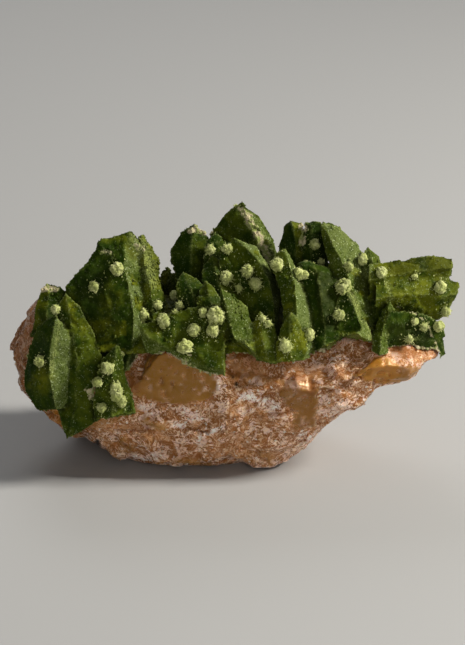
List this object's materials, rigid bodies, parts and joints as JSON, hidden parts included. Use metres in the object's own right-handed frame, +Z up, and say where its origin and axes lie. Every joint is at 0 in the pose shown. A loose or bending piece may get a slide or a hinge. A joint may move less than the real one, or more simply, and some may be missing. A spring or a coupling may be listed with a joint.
{
  "type": "mineral specimen, duftite with calcite",
  "caption": "Hand specimen of duftite with calcite: a crust of upright leaf-shaped crystals coated green, dotted with pale balls, on a keel of broken honey calcite with a flat foot.",
  "frame": {"origin": "a point on the flat cleavage face that the specimen rests on, under its middle", "axes": "+X to the right of the crystals' front along the length, +Y towards the back, +Z up from the foot"},
  "size_m": [0.0571, 0.0256, 0.0315],
  "materials": {
    "calcite_matrix": "broken, translucent honey calcite with frosted fractures",
    "duftite_crystals": "fine velvety crystalline coating"
  },
  "bodies": {
    "root": {"calcite_matrix": "calcite_matrix", "duftite_crystals": "duftite_crystals"}
  },
  "joints": []
}
